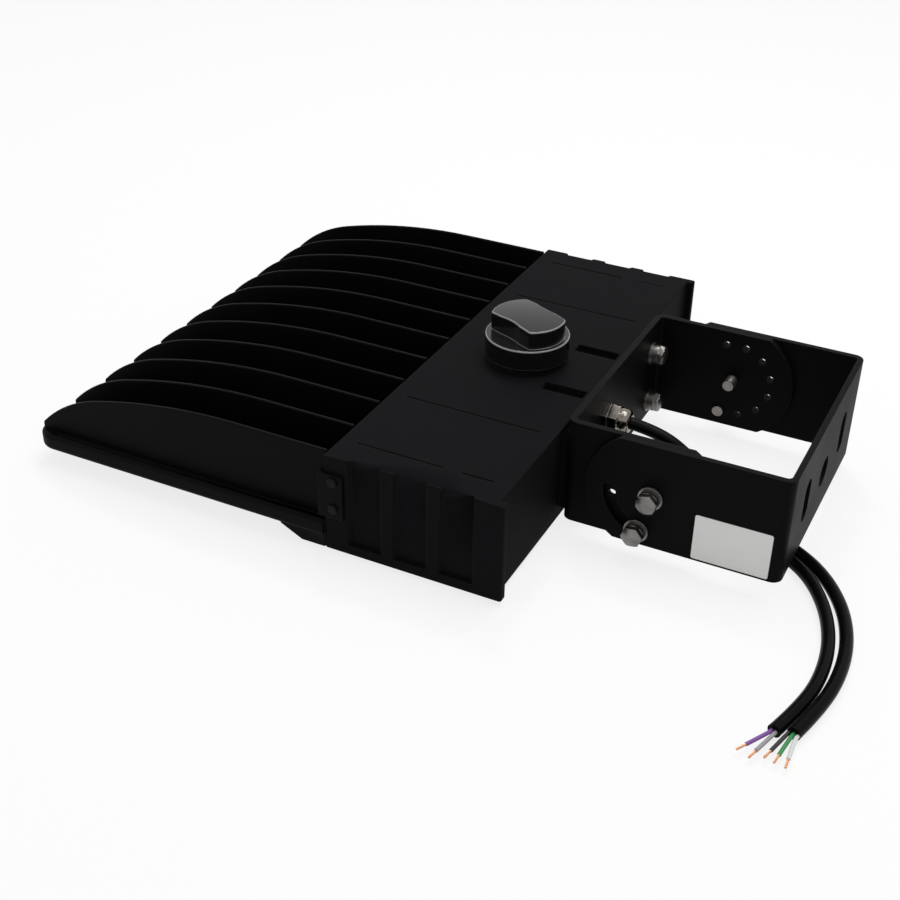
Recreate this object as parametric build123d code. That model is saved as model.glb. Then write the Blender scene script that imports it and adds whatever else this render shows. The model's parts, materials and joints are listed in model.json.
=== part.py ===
from build123d import *
import os
from math import atan2, cos, degrees, pi, radians, sin, tan

# Yoke-mounted LED area light, lying on its underside. Millimetres, +Z up.
# +X runs from the finned lamp head, over the driver box, to the web of the yoke.
# The origin is on the floor, within 2 mm of the middle of the light without its cables.

# Lengths along X
box_x0 = -17.0
head_length = 237.0
box_length = 125.0
yoke_reach = 150.0
front_x = box_x0 - head_length
box_x1 = box_x0 + box_length
web_x1 = box_x1 + yoke_reach

# Driver box casting
box_width = 355.0
box_height = 70.0
side_wall = 9.0
front_wall = 5.0
end_wall = 5.0
lid_thick = 5.0
end_recess = 5.0
rim_thick = 5.0
rim_lip = 13.0
box_edge_r = 1.5
join_depth = 1.0
lid_edge_r = 1.2
cover_thick = 3.0
cover_seal_thick = 1.0
cover_inset = 8.5
cover_corner_r = 6.0
cover_screw_shift = 2.0
box_z0 = cover_thick + cover_seal_thick
box_z1 = box_z0 + box_height
box_y = box_width / 2
end_x = box_x1 - end_recess
cavity_x0 = box_x0 + front_wall
cavity_x1 = end_x - end_wall
cavity_y = box_y - side_wall
lid_z0 = box_z1 - lid_thick

# Side pockets between the ribs of the box
pocket_count = 3
pocket_width = 22.0
pocket_pitch = 32.3
pocket_start = 18.0
pocket_depth = 3.5
pocket_draft = 2.0
pocket_rail = 7.0

# Lid: shallow panel lines and two recesses towards the bracket
line_width = 1.4
line_depth = 0.7
line_inner_y = 88.0
line_outer_y = 154.5
line_margin = 12.0
line_break_start = 73.0
line_break = 13.0
recess_length = 31.0
recess_width = 10.0
recess_depth = 3.0
recess_y = 30.5
recess_margin = 3.4

# Lamp head casting
flange_lip = 1.5
flange_top_r = 3.0
flange_bottom_r = 4.0
base_z0 = 12.0
base_thick = 13.0
base_corner_r = 14.0
head_seal_thick = 1.0
head_seal_inset = 0.2
fin_count = 11
fin_thick = 2.6
fin_edge_r = 0.9
fin_inset = 6.0
fin_setback = 3.5
fin_nose_height = 4.5
fin_nose_r = 3.0
fin_knee_back = 48.5
fin_knee_drop = 15.5
fin_crest_back = 163.5
fin_root = 3.25
groove_r = 2.6
rear_wall = 4.0
rear_wall_drop = 12.0
foot_length = 17.0
foot_slope = 16.0
base_z1 = base_z0 + base_thick
head_x1 = box_x0 - head_seal_thick
foot_x0 = head_x1 - foot_length - foot_slope
rear_wall_z1 = box_z1 - rear_wall_drop
fin_foot_z = base_z1 - fin_root
flange_y = box_y + flange_lip
fin_face_y = box_y - fin_inset
fin_span = 2 * fin_face_y - fin_thick

# Side lugs that screw the head to the box
lug_front = 3.0
lug_back = 15.0
lug_z0 = 30.0
lug_z1 = 62.5
lug_thick = 2.3
lug_gap = 0.2
lug_screw_x = 8.0
lug_screw_z = (37.5, 57.5)
lug_boss_depth = 12.0
lug_boss_reach = 8.0
lug_y = box_y + lug_gap + lug_thick

# Light modules under the head, two by two
lens_length = 84.0
lens_width = 146.0
lens_gap_x = 6.0
lens_gap_y = 4.0
bay_length = 72.0
bay_width = 134.0
bay_depth = 8.0
bay_corner_r = 3.0
board_thick = 1.6
board_clear = 2.0
board_corner_r = 2.0
chip_size = 5.0
chip_thick = 1.0
chip_rows = 3
chip_columns = 6
chip_pitch_x = 20.0
chip_pitch_y = 20.0
lens_thick = 3.0
lens_seal_thick = 3.0
lens_ledge = 4.0
lens_clear = 0.3
lens_corner_r = 2.0
lens_seal_back = 0.5
window_corner_r = 4.0
dome_r = 7.0
dome_height = 4.0
frame_border = 7.0
frame_corner_r = 8.0
bay_z1 = base_z0 + bay_depth
lens_z1 = base_z0 - lens_seal_thick
lens_z0 = lens_z1 - lens_thick
module_mid_x = (front_x + foot_x0) / 2
module_pitch_x = lens_length + lens_gap_x
module_pitch_y = lens_width + lens_gap_y
frame_half_x = module_pitch_x / 2 + lens_length / 2 + frame_border + lens_clear
frame_half_y = module_pitch_y / 2 + lens_width / 2 + frame_border + lens_clear
led_wire_y = 20.0
led_wire_z = base_z0 + bay_depth / 2

# Photocontrol receptacle on the lid and its twist-lock cap
cap_setback = 60.0
cap_x = box_x0 + cap_setback
barrel_r = 21.0
barrel_gap = 0.5
barrel_drop = 22.0
recept_flange_r = 28.0
recept_flange_thick = 4.0
recept_seal_thick = 1.0
recept_screw_r = 24.6
blade_r = 15.0
blade_width = 6.0
blade_thick = 1.6
blade_drop = 14.0
blade_side_gap = 0.9
blade_spare_angle = 3.0
blade_floor = 2.0
blade_angles = (90, 210, 330)
contact_thick = 0.9
cap_twist = 25.0
cap_skirt_r = 29.5
cap_skirt_height = 14.5
cap_wall = 2.2
cap_rise = 0.3
cap_base_thick = 4.0
cap_base_gap = 0.1
cap_seal_thick = 1.0
cap_seal_r = 20.0
cap_grip_r = 26.0
cap_grip_width = 33.0
cap_grip_height = 14.5
cap_grip_turn = -24.5
cap_scoop_r = 46.0
cap_scoop_depth = 1.0
cap_crown = 1.6
cap_edge_r = 1.2
cap_corner_r = 3.0
recept_z0 = box_z1 + recept_seal_thick
recept_z1 = recept_z0 + recept_flange_thick
cap_z0 = recept_z1 + cap_rise
cap_base_z0 = cap_z0 + cap_seal_thick
cap_base_z1 = cap_base_z0 + cap_base_thick
blade_slot_z0 = recept_z1 - blade_drop - blade_floor
contact_r = blade_r - blade_thick / 2 - blade_side_gap - contact_thick

# Steel brackets: one bolted to the box, one that carries the light
plate = 4.0
arm_gap = 0.5
arm_height = 75.0
arm_end_r = 44.0
yoke_width = 180.0
bend_r = 7.0
pivot_reach = 62.0
pivot_z = 49.0
pad_reach = 6.0
pad_inset = 6.5
pad_z0 = 12.0
pad_drop = 2.0
pivot_x = box_x1 + pivot_reach
yoke_y = yoke_width / 2
inner_y = yoke_y - plate - arm_gap
pad_y = inner_y - plate - pad_inset
arm_z0 = pivot_z - arm_height / 2
arm_z1 = pivot_z + arm_height / 2
pad_x = end_x + pad_reach
bracket_x = pad_x + plate

# Tilt lock: ring of index holes, and the slot that the lock bolt runs in
ring_r = 28.0
index_hole_r = 2.75
index_angles = (105, 75, 45, 15, -15, -45, -75)
near_index_angle = -165
lock_angle = -105.0
tilt_range = 70.0
slot_spare = 1.5
slot_width = 9.0

# Mounting holes in the yoke's web
mount_hole_r = 10.5
mount_hole_drop = 5.0
mount_slot_width = 15.0
mount_slot_length = 31.0
mount_slot_pitch = 93.0

# M8 hexagon bolts with spring and flat washers, and the small screws
bolt_r = 4.0
bolt_hole_r = 4.5
thread_gap = 0.05
bolt_head_flats = 13.0
bolt_head_height = 5.5
spring_washer_r = 6.9
spring_washer_height = 4.5
spring_washer_slit = 1.0
flat_washer_r = 8.2
flat_washer_thick = 1.6
washer_hole_r = 4.2
washer_gap = 0.15
pivot_bolt_tail = 10.0
lock_bolt_tail = 2.0
pivot_bolt_turn = 15.0
lock_bolt_turn = 8.0
bracket_bolt_inset = 15.5
bracket_bolt_z = (25.0, 64.0)
bracket_bolt_tail = 6.0
bracket_bolt_y = inner_y - plate - bracket_bolt_inset
screw_r = 2.0
screw_head_r = 3.6
screw_head_height = 1.8
screw_recess_r = 3.9
screw_recess = 2.0
screw_tip_gap = 1.0
small_head_r = 3.1
small_recess_r = 3.3
lug_screw_head_r = 3.4
lug_screw_edge = 0.8

# Cable glands
gland_y = -24.0
gland_z = (58.0, 36.0)
gland_flats = 19.0
gland_collar = 4.0
gland_thread_r = 7.5
gland_hole_r = 7.8
gland_neck = 6.0
gland_cap_flats = 18.0
gland_cap_hex = 6.0
gland_cap_length = 14.0
gland_cap_nose = 1.6
gland_cap_gap = 0.5
gland_seal_gap = 0.4
gland_nut_thick = 5.0
gland_tail = 2.0
gland_bore_r = 4.8

# Cables: two leads that lie on the floor and end in stripped cores
cable_d = 8.5
cable_gap = 0.1
cable_floor = cable_d / 2 + cable_gap / 2
bend_share = 0.45
core_r = 1.2
core_gap = 0.2
core_root = 3.0
core_length = 24.0
core_bare = 7.0
copper_r = 0.8
power_cores = (
    ("line_core", -1, 0.02),
    ("ground_core", 0, 0.16),
    ("neutral_core", 1, 0.34),
)
control_cores = (
    ("control_core_plus", -0.5, -0.22),
    ("control_core_minus", 0.5, 0.02),
)
gland_seat_x = bracket_x + gland_collar + gland_neck
gland_cap_x = bracket_x + gland_collar + gland_cap_gap
power_points = [
    (gland_seat_x, gland_y, gland_z[0]),
    (150, gland_y, gland_z[0]),
    (180, -25, 41),
    (212, -28, 14),
    (246, -33, cable_floor),
    (276, -53, cable_floor),
    (298, -85, cable_floor),
    (309, -120, cable_floor),
    (311, -155, cable_floor),
    (306, -187, cable_floor),
    (300, -208, cable_floor),
]
control_points = [
    (gland_seat_x, gland_y, gland_z[1]),
    (150, gland_y, gland_z[1]),
    (181, -29, 20.5),
    (214, -38, 5.5),
    (245, -44, cable_floor),
    (269.5, -61, cable_floor),
    (288.5, -91, cable_floor),
    (299.3, -125, cable_floor),
    (301.6, -160, cable_floor),
    (296.2, -190, cable_floor),
    (289.6, -210.8, cable_floor),
]

# Gear inside the driver box, and the leads that join it up
lead_d = 4.6
lead_gap = 0.5
lead_hole_r = lead_d / 2 + lead_gap
lead_start = 6.0
driver_length = 165.0
driver_width = 62.0
driver_height = 34.0
driver_x = 46.0
driver_margin = 12.0
driver_cap_thick = 6.0
driver_tab = 12.0
driver_tab_thick = 2.5
driver_tab_inset = 6.0
case_edge_r = 2.0
driver_z1 = 47.0
driver_boss_r = 5.0
surge_size = (48.0, 42.0, 24.0)
surge_place = (22.0, -78.0)
terminal_size = (24.0, 46.0, 16.0)
terminal_ways = 5
terminal_inset = 43.5
terminal_place = (60.0, terminal_inset - cavity_y)

driver_reach = driver_length / 2 + driver_tab / 2
driver_boss_y = -(barrel_r + barrel_gap + driver_boss_r)
driver_y = min(cavity_y - driver_margin - driver_tab - driver_length / 2, driver_boss_y + driver_reach)
driver_lead_y = driver_y - driver_length / 2
gland_tail_x = cavity_x1 - gland_nut_thick - gland_tail
terminal_end_x = terminal_place[0] + terminal_size[0] / 2
led_lead_points = [
    (module_mid_x + module_pitch_x / 2 + bay_length / 2 - lead_start, led_wire_y, led_wire_z),
    (3, led_wire_y, led_wire_z),
    (8, -8, 18),
    (16, driver_lead_y - 15.5, 24),
    (32, driver_lead_y - 26.5, 29),
    (driver_x, driver_lead_y - 21.5, 30),
    (driver_x, driver_lead_y, 30),
]
supply_lead_points = [
    (gland_tail_x, gland_y, gland_z[0]),
    (84, -26, 58),
    (76, -50, 59),
    (80, -84, 60),
    (86, -108, 61),
    (85, terminal_place[1], 61),
    (terminal_end_x, terminal_place[1], 61),
]
control_lead_points = [
    (gland_tail_x, gland_y, gland_z[1]),
    (84, -25, 35),
    (76, driver_lead_y - 15.5, 32),
    (66, driver_lead_y - 18.5, 31),
    (58, driver_lead_y - 13.5, 30),
    (58, driver_lead_y, 30),
]

# Blank rating label on the near arm
label_length = 50.0
label_height = 33.0
label_thick = 0.2
label_right = 8.0
label_rise = 1.5
label_corner_r = 1.5


def block(x0, x1, y0, y1, z0, z1):
    return Pos((x0 + x1) / 2, (y0 + y1) / 2, (z0 + z1) / 2) * Box(x1 - x0, y1 - y0, z1 - z0)


def rod_x(y, z, r, x0, x1):
    return Pos((x0 + x1) / 2, y, z) * Rot(0, 90, 0) * Cylinder(r, x1 - x0)


def rod_y(x, z, r, y0, y1):
    return Pos(x, (y0 + y1) / 2, z) * Rot(90, 0, 0) * Cylinder(r, abs(y1 - y0))


def rod_z(x, y, r, z0, z1):
    return Pos(x, y, (z0 + z1) / 2) * Cylinder(r, z1 - z0)


def plate_z(length, width, corner_r, x, y, z0, z1):
    return Pos(x, y, z0) * extrude(RectangleRounded(length, width, corner_r), z1 - z0)


def hex_prism(flats, height):
    return extrude(RegularPolygon(flats / 2, 6, major_radius=False), height)


def group(solids):
    return Compound(children=list(solids))


def save(shape, name):
    export_step(shape, "parts/" + name + ".step")


os.makedirs("parts", exist_ok=True)
both_sides = (-1, 1)


# Lamp head: base with a rolled flange and side grooves, arched fins, rear wall and side lugs
def fin_profile():
    nose = (front_x + fin_setback, base_z1 + fin_nose_height)
    knee = (nose[0] + fin_knee_back, box_z1 - fin_knee_drop)
    crest = (nose[0] + fin_crest_back, box_z1)
    sweep_arc = TangentArc(crest, knee, tangent=(-1, 0))
    nose_arc = TangentArc(knee, nose, tangent=sweep_arc % 1)
    rest = Polyline(nose, (nose[0], fin_foot_z), (head_x1, fin_foot_z), (head_x1, box_z1), crest)
    profile = make_face([sweep_arc, nose_arc, rest])
    corner = profile.vertices().group_by(Axis.X)[0].sort_by(Axis.Y)[-1]
    return fillet(corner, fin_nose_r)


def is_fin_crest(edge):
    along_y = edge.bounding_box().size.Y > fin_thick / 2
    return not along_y and edge.center().Z > fin_foot_z and edge.center().X < head_x1 - rear_wall


def outer_rim(slab, level):
    face = slab.faces().filter_by(Axis.Z).sort_by(Axis.Z)[level]
    return [edge for edge in face.edges() if edge.center().X < head_x1 - rear_wall]


def make_heat_sink():
    head = block(front_x, head_x1, -flange_y, flange_y, base_z0, base_z1)
    front_corners = head.edges().filter_by(Axis.Z).group_by(Axis.X)[0]
    head = fillet(front_corners, base_corner_r)
    head = fillet(outer_rim(head, 0), flange_bottom_r)
    head = fillet(outer_rim(head, -1), flange_top_r)
    fin = extrude(Plane.XZ * fin_profile(), fin_thick / 2, both=True)
    fin = fillet([edge for edge in fin.edges() if is_fin_crest(edge)], fin_edge_r)
    pitch = fin_span / (fin_count - 1)
    head += [Pos(0, pitch * i - fin_span / 2, 0) * fin for i in range(fin_count)]
    head += block(head_x1 - rear_wall, head_x1, -fin_face_y, fin_face_y, base_z1 - join_depth, rear_wall_z1)
    foot_x1 = head_x1 - foot_length
    foot = make_face(Polyline((foot_x0, base_z0), (foot_x1, box_z0), (head_x1, box_z0), (head_x1, base_z1),
                              (foot_x0, base_z1), close=True))
    head += extrude(Plane.XZ * foot, box_y, both=True)
    for side in both_sides:
        groove_y = side * (fin_face_y + groove_r)
        head -= rod_x(groove_y, base_z1, groove_r, front_x + base_corner_r, head_x1)
        y0, y1 = sorted((side * (fin_face_y - join_depth), side * lug_y))
        lug = block(box_x0 - lug_front, box_x0 + lug_back, y0, y1, lug_z0, lug_z1)
        y0, y1 = sorted((0, side * (box_y + lug_gap)))
        lug -= block(head_x1, box_x1, y0, y1, box_z0, box_z1)
        head += lug
        for z in lug_screw_z:
            head -= rod_y(box_x0 + lug_screw_x, z, screw_r + thread_gap, 0, side * 2 * box_y)
    for x, y in module_places():
        head -= plate_z(bay_length, bay_width, bay_corner_r, x, y, base_z0, bay_z1)
    head -= rod_x(led_wire_y, led_wire_z, lead_hole_r, module_mid_x + module_pitch_x / 2, head_x1)
    for x, y in frame_screw_places():
        head -= rod_z(x, y, screw_r + thread_gap, base_z0, bay_z1)
    return head


def module_places():
    halves = [(i, j) for i in both_sides for j in both_sides]
    return [(module_mid_x + i * module_pitch_x / 2, j * module_pitch_y / 2) for i, j in halves]


def frame_screw_places():
    edge_x = frame_half_x - frame_border / 2
    edge_y = frame_half_y - frame_border / 2
    ends = [(i * edge_x, j * module_pitch_y / 2) for i in both_sides for j in both_sides]
    sides = [(i * module_pitch_x / 2, j * edge_y) for i in both_sides for j in both_sides]
    return [(module_mid_x + x, y) for x, y in ends + sides]


# Under the head: boards with chips, lens panels on seals, and the frame that holds them
def chip_offsets():
    rows = [(i - (chip_rows - 1) / 2) * chip_pitch_x for i in range(chip_rows)]
    columns = [(j - (chip_columns - 1) / 2) * chip_pitch_y for j in range(chip_columns)]
    return [(x, y) for x in rows for y in columns]


def make_board(x, y):
    length = bay_length - 2 * board_clear
    width = bay_width - 2 * board_clear
    return plate_z(length, width, board_corner_r, x, y, bay_z1 - board_thick, bay_z1)


def make_chips():
    z1 = bay_z1 - board_thick
    chip = Pos(0, 0, z1 - chip_thick / 2) * Box(chip_size, chip_size, chip_thick)
    return group(Pos(x + i, y + j, 0) * chip for x, y in module_places() for i, j in chip_offsets())


def make_lens(x, y):
    sphere_r = (dome_r ** 2 + dome_height ** 2) / (2 * dome_height)
    cap = Pos(0, 0, lens_z0 - dome_height + sphere_r) * Sphere(sphere_r)
    keep = lens_z0 + lens_thick / 3
    cap &= Pos(0, 0, keep - sphere_r) * Box(3 * sphere_r, 3 * sphere_r, 2 * sphere_r)
    panel = plate_z(lens_length, lens_width, lens_corner_r, x, y, lens_z0, lens_z1)
    return panel + [Pos(x + i, y + j, 0) * cap for i, j in chip_offsets()]


def make_lens_seals():
    seals = []
    hole = (bay_length + 2 * lens_seal_back, bay_width + 2 * lens_seal_back)
    for x, y in module_places():
        seal = plate_z(lens_length, lens_width, lens_corner_r, x, y, lens_z1, base_z0)
        seals.append(seal - plate_z(*hole, bay_corner_r, x, y, lens_z1, base_z0))
    return group(seals)


def make_lens_frame():
    frame = plate_z(2 * frame_half_x, 2 * frame_half_y, frame_corner_r, module_mid_x, 0, 0, base_z0)
    seat = (lens_length + 2 * lens_clear, lens_width + 2 * lens_clear)
    window = (lens_length - 2 * lens_ledge, lens_width - 2 * lens_ledge)
    for x, y in module_places():
        frame -= plate_z(*seat, lens_corner_r, x, y, lens_z0, base_z0)
        frame -= plate_z(*window, window_corner_r, x, y, 0, lens_z0)
    for x, y in frame_screw_places():
        frame -= rod_z(x, y, screw_r + thread_gap, 0, base_z0)
        frame -= rod_z(x, y, small_recess_r, 0, screw_recess)
    return frame


def small_screw(x, y, head_r, tip_z):
    head = rod_z(x, y, head_r, screw_recess - screw_head_height, screw_recess)
    return head + rod_z(x, y, screw_r, screw_recess, tip_z)


# Driver box: casting, bottom cover and the gear inside
def cover_screw_places():
    inset = rim_lip / 2 - cover_screw_shift
    edge_y = cavity_y - inset
    return [(x, y) for x in (cavity_x0 + inset, cavity_x1 - inset) for y in (-edge_y, 0, edge_y)]


def bracket_bolt_places():
    return [(side * bracket_bolt_y, z) for side in both_sides for z in bracket_bolt_z]


def recept_screw_places():
    return [(cap_x, side * recept_screw_r) for side in both_sides]


def driver_boss_places():
    apart = driver_width / 4
    return [(driver_x + i * apart, driver_y + j * driver_reach) for i in both_sides for j in both_sides]


def panel_line(x0, x1, y):
    return block(x0, x1, y - line_width / 2, y + line_width / 2, box_z1 - line_depth, box_z1)


def side_pocket(x0, side):
    lean = pocket_draft / 2
    face_y = side * box_y
    floor_y = side * (box_y - pocket_depth)
    x1 = x0 + pocket_width
    outline = Polyline((x0 - lean, face_y), (x1 + lean, face_y), (x1 - lean, floor_y), (x0 + lean, floor_y),
                       close=True)
    pocket = extrude(make_face(outline), box_height - pocket_rail, dir=(0, 0, 1))
    return Pos(0, 0, box_z0 + pocket_rail) * pocket


def make_driver_housing():
    shell = block(box_x0, box_x1, -box_y, box_y, box_z0, box_z1)
    shell = fillet(shell.edges().filter_by(Axis.Z), box_edge_r)
    shell = fillet(shell.faces().sort_by(Axis.Z)[-1].edges(), lid_edge_r)
    shell -= block(end_x, box_x1, -cavity_y - side_wall / 3, cavity_y + side_wall / 3, box_z0, box_z1)
    shell -= block(cavity_x0, cavity_x1, -cavity_y, cavity_y, box_z0 + rim_thick, lid_z0)
    shell -= block(cavity_x0 + rim_lip, cavity_x1 - rim_lip, rim_lip - cavity_y, cavity_y - rim_lip,
                   box_z0, box_z0 + rim_thick)
    shell += block(end_x, pad_x, -pad_y, pad_y, pad_z0, box_z1 - pad_drop)
    for side in both_sides:
        wall_y = side * box_y
        for i in range(pocket_count):
            shell -= side_pocket(box_x0 + pocket_start + i * pocket_pitch, side)
        y0, y1 = sorted((side * cavity_y, side * (cavity_y - lug_boss_depth)))
        shell += block(cavity_x0, cavity_x0 + lug_boss_reach, y0, y1, box_z0 + rim_thick, lug_z1)
        for z in lug_screw_z:
            shell -= rod_y(box_x0 + lug_screw_x, z, screw_r + thread_gap,
                           wall_y, side * (cavity_y - lug_boss_depth / 2))
        x0 = box_x0 + line_margin
        x1 = end_x - line_margin
        break_x = box_x0 + line_break_start
        shell -= panel_line(x0, x1, side * line_inner_y)
        shell -= panel_line(x0, break_x, side * line_outer_y)
        shell -= panel_line(break_x + line_break, x1, side * line_outer_y)
        y = side * recess_y
        shell -= block(end_x - recess_margin - recess_length, end_x - recess_margin,
                       y - recess_width / 2, y + recess_width / 2, box_z1 - recess_depth, box_z1)
    for x, y in driver_boss_places():
        shell += rod_z(x, y, driver_boss_r, driver_z1, lid_z0)
        shell -= rod_z(x, y, screw_r + thread_gap, driver_z1, lid_z0)
    shell -= rod_z(cap_x, 0, barrel_r + barrel_gap, lid_z0, box_z1)
    for x, y in recept_screw_places():
        shell -= rod_z(x, y, screw_r + thread_gap, lid_z0, box_z1)
    for y, z in bracket_bolt_places():
        shell -= rod_x(y, z, bolt_r + thread_gap, cavity_x1, pad_x)
    for z in gland_z:
        shell -= rod_x(gland_y, z, gland_hole_r, cavity_x1, pad_x)
    shell -= rod_x(led_wire_y, led_wire_z, lead_hole_r, box_x0, cavity_x0)
    for x, y in cover_screw_places():
        shell -= rod_z(x, y, screw_r + thread_gap, box_z0, box_z0 + rim_thick)
    return shell


def cover_sheet(z0, z1):
    x0 = box_x0 + cover_inset
    x1 = end_x - cover_inset
    return plate_z(x1 - x0, box_width - 2 * cover_inset, cover_corner_r, (x0 + x1) / 2, 0, z0, z1)


def make_cover():
    cover = cover_sheet(0, cover_thick)
    for x, y in cover_screw_places():
        cover -= rod_z(x, y, screw_r + thread_gap, 0, cover_thick)
        cover -= rod_z(x, y, screw_recess_r, 0, screw_recess)
    return cover


def make_cover_seal():
    seal = cover_sheet(cover_thick, box_z0)
    seal -= block(cavity_x0 + rim_lip, cavity_x1 - rim_lip, rim_lip - cavity_y, cavity_y - rim_lip,
                  cover_thick, box_z0)
    for x, y in cover_screw_places():
        seal -= rod_z(x, y, screw_r + thread_gap, cover_thick, box_z0)
    return seal


def make_head_seal():
    seal = block(head_x1, box_x0, -fin_face_y, fin_face_y, base_z0, rear_wall_z1)
    seal_y = box_y - head_seal_inset
    seal += block(head_x1, box_x0, -seal_y, seal_y, box_z0 + head_seal_inset, base_z1)
    return seal - rod_x(led_wire_y, led_wire_z, lead_hole_r, head_x1, box_x0)


def make_driver():
    z0 = driver_z1 - driver_height
    half_x = driver_width / 2
    half_y = driver_length / 2 - driver_cap_thick
    body = block(driver_x - half_x, driver_x + half_x, driver_y - half_y, driver_y + half_y, z0, driver_z1)
    return fillet(body.edges().filter_by(Axis.Y), case_edge_r)


def make_driver_caps():
    z0 = driver_z1 - driver_height
    caps = []
    for side in both_sides:
        inner = driver_y + side * (driver_length / 2 - driver_cap_thick)
        outer = driver_y + side * driver_length / 2
        tab = driver_y + side * (driver_length / 2 + driver_tab)
        y0, y1 = sorted((inner, outer))
        cap = block(driver_x - driver_width / 2, driver_x + driver_width / 2, y0, y1, z0, driver_z1)
        y0, y1 = sorted((outer, tab))
        half = driver_width / 2 - driver_tab_inset
        cap += block(driver_x - half, driver_x + half, y0, y1, driver_z1 - driver_tab_thick, driver_z1)
        for x, y in driver_boss_places():
            cap -= rod_z(x, y, screw_r + thread_gap, driver_z1 - driver_tab_thick, driver_z1)
        caps.append(cap)
    return group(caps)


def make_driver_screws():
    seat = driver_z1 - driver_tab_thick
    screws = []
    for x, y in driver_boss_places():
        head = rod_z(x, y, screw_head_r, seat - screw_head_height, seat)
        screws.append(head + rod_z(x, y, screw_r, seat, driver_z1 + driver_boss_r))
    return group(screws)


def hung_block(size, place):
    half_x = size[0] / 2
    half_y = size[1] / 2
    x, y = place
    body = block(x - half_x, x + half_x, y - half_y, y + half_y, lid_z0 - size[2], lid_z0)
    return fillet(body.edges().filter_by(Axis.Z), case_edge_r)


def make_terminal_block():
    body = hung_block(terminal_size, terminal_place)
    x, y = terminal_place
    pitch = terminal_size[1] / terminal_ways
    z0 = lid_z0 - terminal_size[2]
    for i in range(terminal_ways):
        hole_y = y + (i - (terminal_ways - 1) / 2) * pitch
        body -= rod_z(x, hole_y, pitch / 4, z0, z0 + terminal_size[2] / 2)
    return body


def make_lug_screws():
    screws = []
    for side in both_sides:
        tip = side * (cavity_y - lug_boss_depth / 2 + screw_tip_gap)
        outer_face = -1 if side > 0 else 0
        for z in lug_screw_z:
            x = box_x0 + lug_screw_x
            head = rod_y(x, z, lug_screw_head_r, side * lug_y, side * (lug_y + screw_head_height))
            head = chamfer(head.faces().sort_by(Axis.Y)[outer_face].edges(), lug_screw_edge)
            screws.append(head + rod_y(x, z, screw_r, side * lug_y, tip))
    return group(screws)


# Receptacle and twist-lock cap
def ring_z(outer_r, inner_r, z0, z1):
    return rod_z(cap_x, 0, outer_r, z0, z1) - rod_z(cap_x, 0, inner_r, z0, z1)


def blade_slot(angle, inner_r, outer_r, z0, z1):
    spare = degrees(atan2(blade_width / 2, blade_r)) + blade_spare_angle
    arc = CenterArc((0, 0), (inner_r + outer_r) / 2, angle - spare, cap_twist + 2 * spare)
    lane = Wire([arc]).offset_2d((outer_r - inner_r) / 2)
    return Pos(cap_x, 0, z0) * extrude(make_face(lane), z1 - z0)


def make_receptacle():
    body = rod_z(cap_x, 0, recept_flange_r, recept_z0, recept_z1)
    body += rod_z(cap_x, 0, barrel_r, box_z1 - barrel_drop, recept_z0)
    outer_r = blade_r + blade_thick / 2 + blade_side_gap
    for angle in blade_angles:
        body -= blade_slot(angle, contact_r, outer_r, blade_slot_z0, recept_z1)
    for x, y in recept_screw_places():
        body -= rod_z(x, y, screw_r + thread_gap, recept_z0, recept_z1)
        body -= rod_z(x, y, small_recess_r, recept_z1 - screw_recess, recept_z1)
    return body


def make_recept_screws():
    screws = []
    for x, y in recept_screw_places():
        seat = recept_z1 - screw_recess
        head = rod_z(x, y, small_head_r, seat, seat + screw_head_height)
        screws.append(head + rod_z(x, y, screw_r, lid_z0 + screw_tip_gap, seat))
    return group(screws)


def make_recept_seal():
    seal = ring_z(recept_flange_r, barrel_r + barrel_gap, box_z1, recept_z0)
    for x, y in recept_screw_places():
        seal -= rod_z(x, y, screw_r + thread_gap, box_z1, recept_z0)
    return seal


def make_contacts():
    reach = 3 * blade_r
    far_corner = (reach * cos(radians(cap_twist)), reach * sin(radians(cap_twist)))
    sector = extrude(make_face(Polyline((0, 0), (reach, 0), far_corner, close=True)), blade_drop)
    ring = ring_z(contact_r + contact_thick, contact_r, blade_slot_z0, recept_z0)
    return group(ring & Pos(cap_x, 0, blade_slot_z0) * Rot(0, 0, angle) * sector for angle in blade_angles)


def make_blades():
    z0 = recept_z1 - blade_drop
    blades = []
    for angle in blade_angles:
        blade = Pos(blade_r, 0, (z0 + cap_base_z0) / 2) * Box(blade_thick, blade_width, cap_base_z0 - z0)
        blades.append(Pos(cap_x, 0, 0) * Rot(0, 0, angle) * blade)
    return group(blades)


def make_cap_seal():
    return ring_z(cap_skirt_r - cap_wall - cap_base_gap, cap_seal_r, cap_z0, cap_base_z0)


def make_cap_base():
    return rod_z(cap_x, 0, cap_skirt_r - cap_wall - cap_base_gap, cap_base_z0, cap_base_z1)


def grip_outline(r, width):
    side_y = width / 2
    scoop_y = side_y - cap_scoop_depth + cap_scoop_r
    bar = Circle(r) & Rectangle(2 * r, width)
    return bar - Pos(0, scoop_y) * Circle(cap_scoop_r) - Pos(0, -scoop_y) * Circle(cap_scoop_r)


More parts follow.
